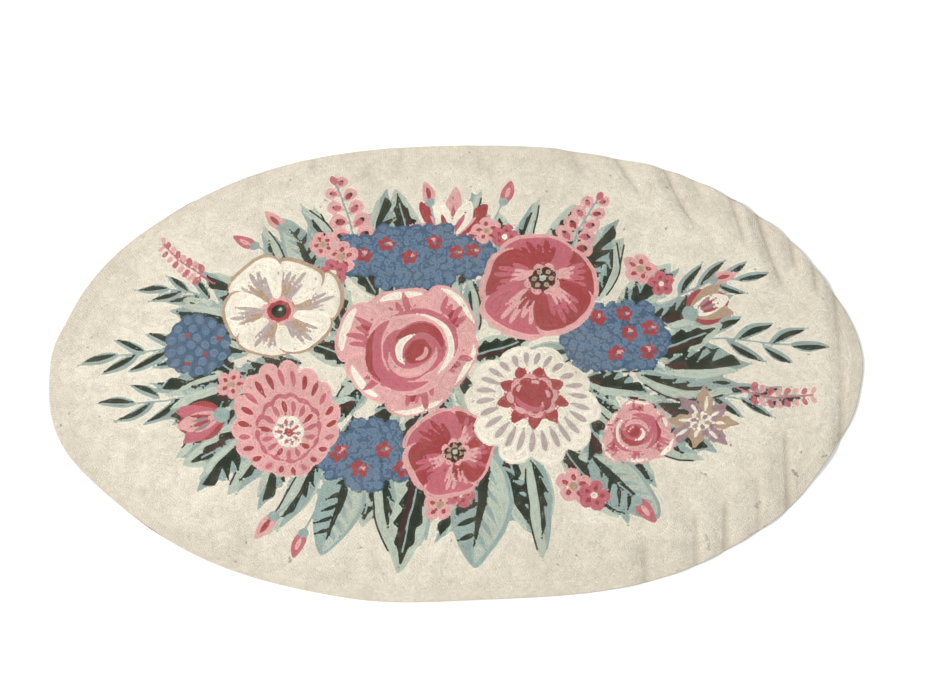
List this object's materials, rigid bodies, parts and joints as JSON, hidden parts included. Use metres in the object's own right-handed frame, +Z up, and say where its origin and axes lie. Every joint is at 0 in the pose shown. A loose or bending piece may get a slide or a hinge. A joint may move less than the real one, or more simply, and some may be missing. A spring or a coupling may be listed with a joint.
{
  "type": "chain stitch rug",
  "caption": "Flat oval rug of wool chain stitch on cotton cloth, its edge turned under, with a floral bouquet on an ivory ground",
  "frame": {"origin": "on the floor, under the middle of the rug's bounding box", "axes": "+X along the rug's length, +Y across it, +Z up out of its stitched face"},
  "size_m": [1.5268, 0.9022, 0.0095],
  "materials": {
    "embroidered_wool": "matte, in raised rows of chain stitch"
  },
  "bodies": {
    "root": {"rug": "embroidered_wool"}
  },
  "joints": []
}
